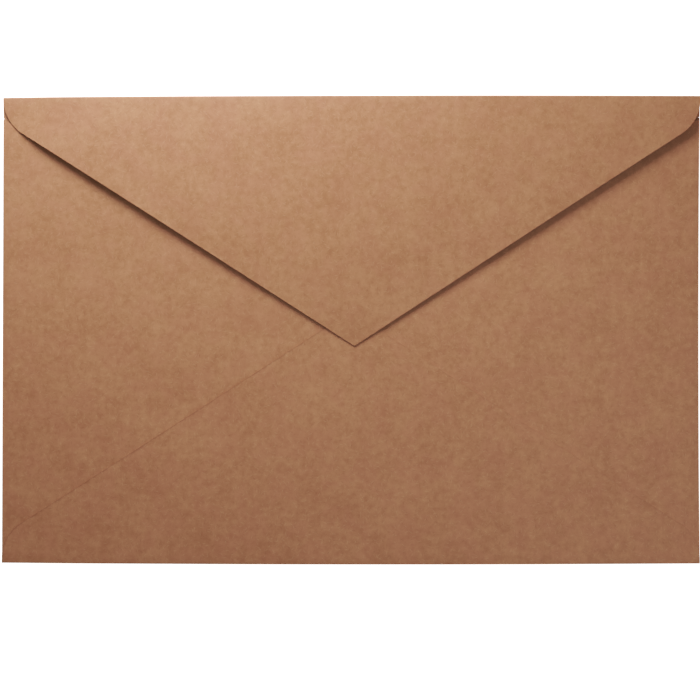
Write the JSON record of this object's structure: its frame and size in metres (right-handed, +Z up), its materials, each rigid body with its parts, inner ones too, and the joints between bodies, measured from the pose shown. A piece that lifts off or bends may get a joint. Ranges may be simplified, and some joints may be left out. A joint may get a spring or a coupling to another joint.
{
  "type": "paper envelope",
  "caption": "Brown kraft paper envelope with a pointed closing flap, closed and empty, lying flat with its back up.",
  "frame": {"origin": "middle of the front face of the envelope, on the surface that it lies on", "axes": "+X along the long side, +Y in the plane of the envelope towards the crease of the closing flap, +Z up, out of the back"},
  "size_m": [0.2286, 0.1524, 0.0033],
  "materials": {
    "kraft_paper": "matt unbleached brown kraft, slightly calendered, with fine darker and lighter fibres"
  },
  "bodies": {
    "root": {"envelope": "kraft_paper"}
  },
  "joints": []
}
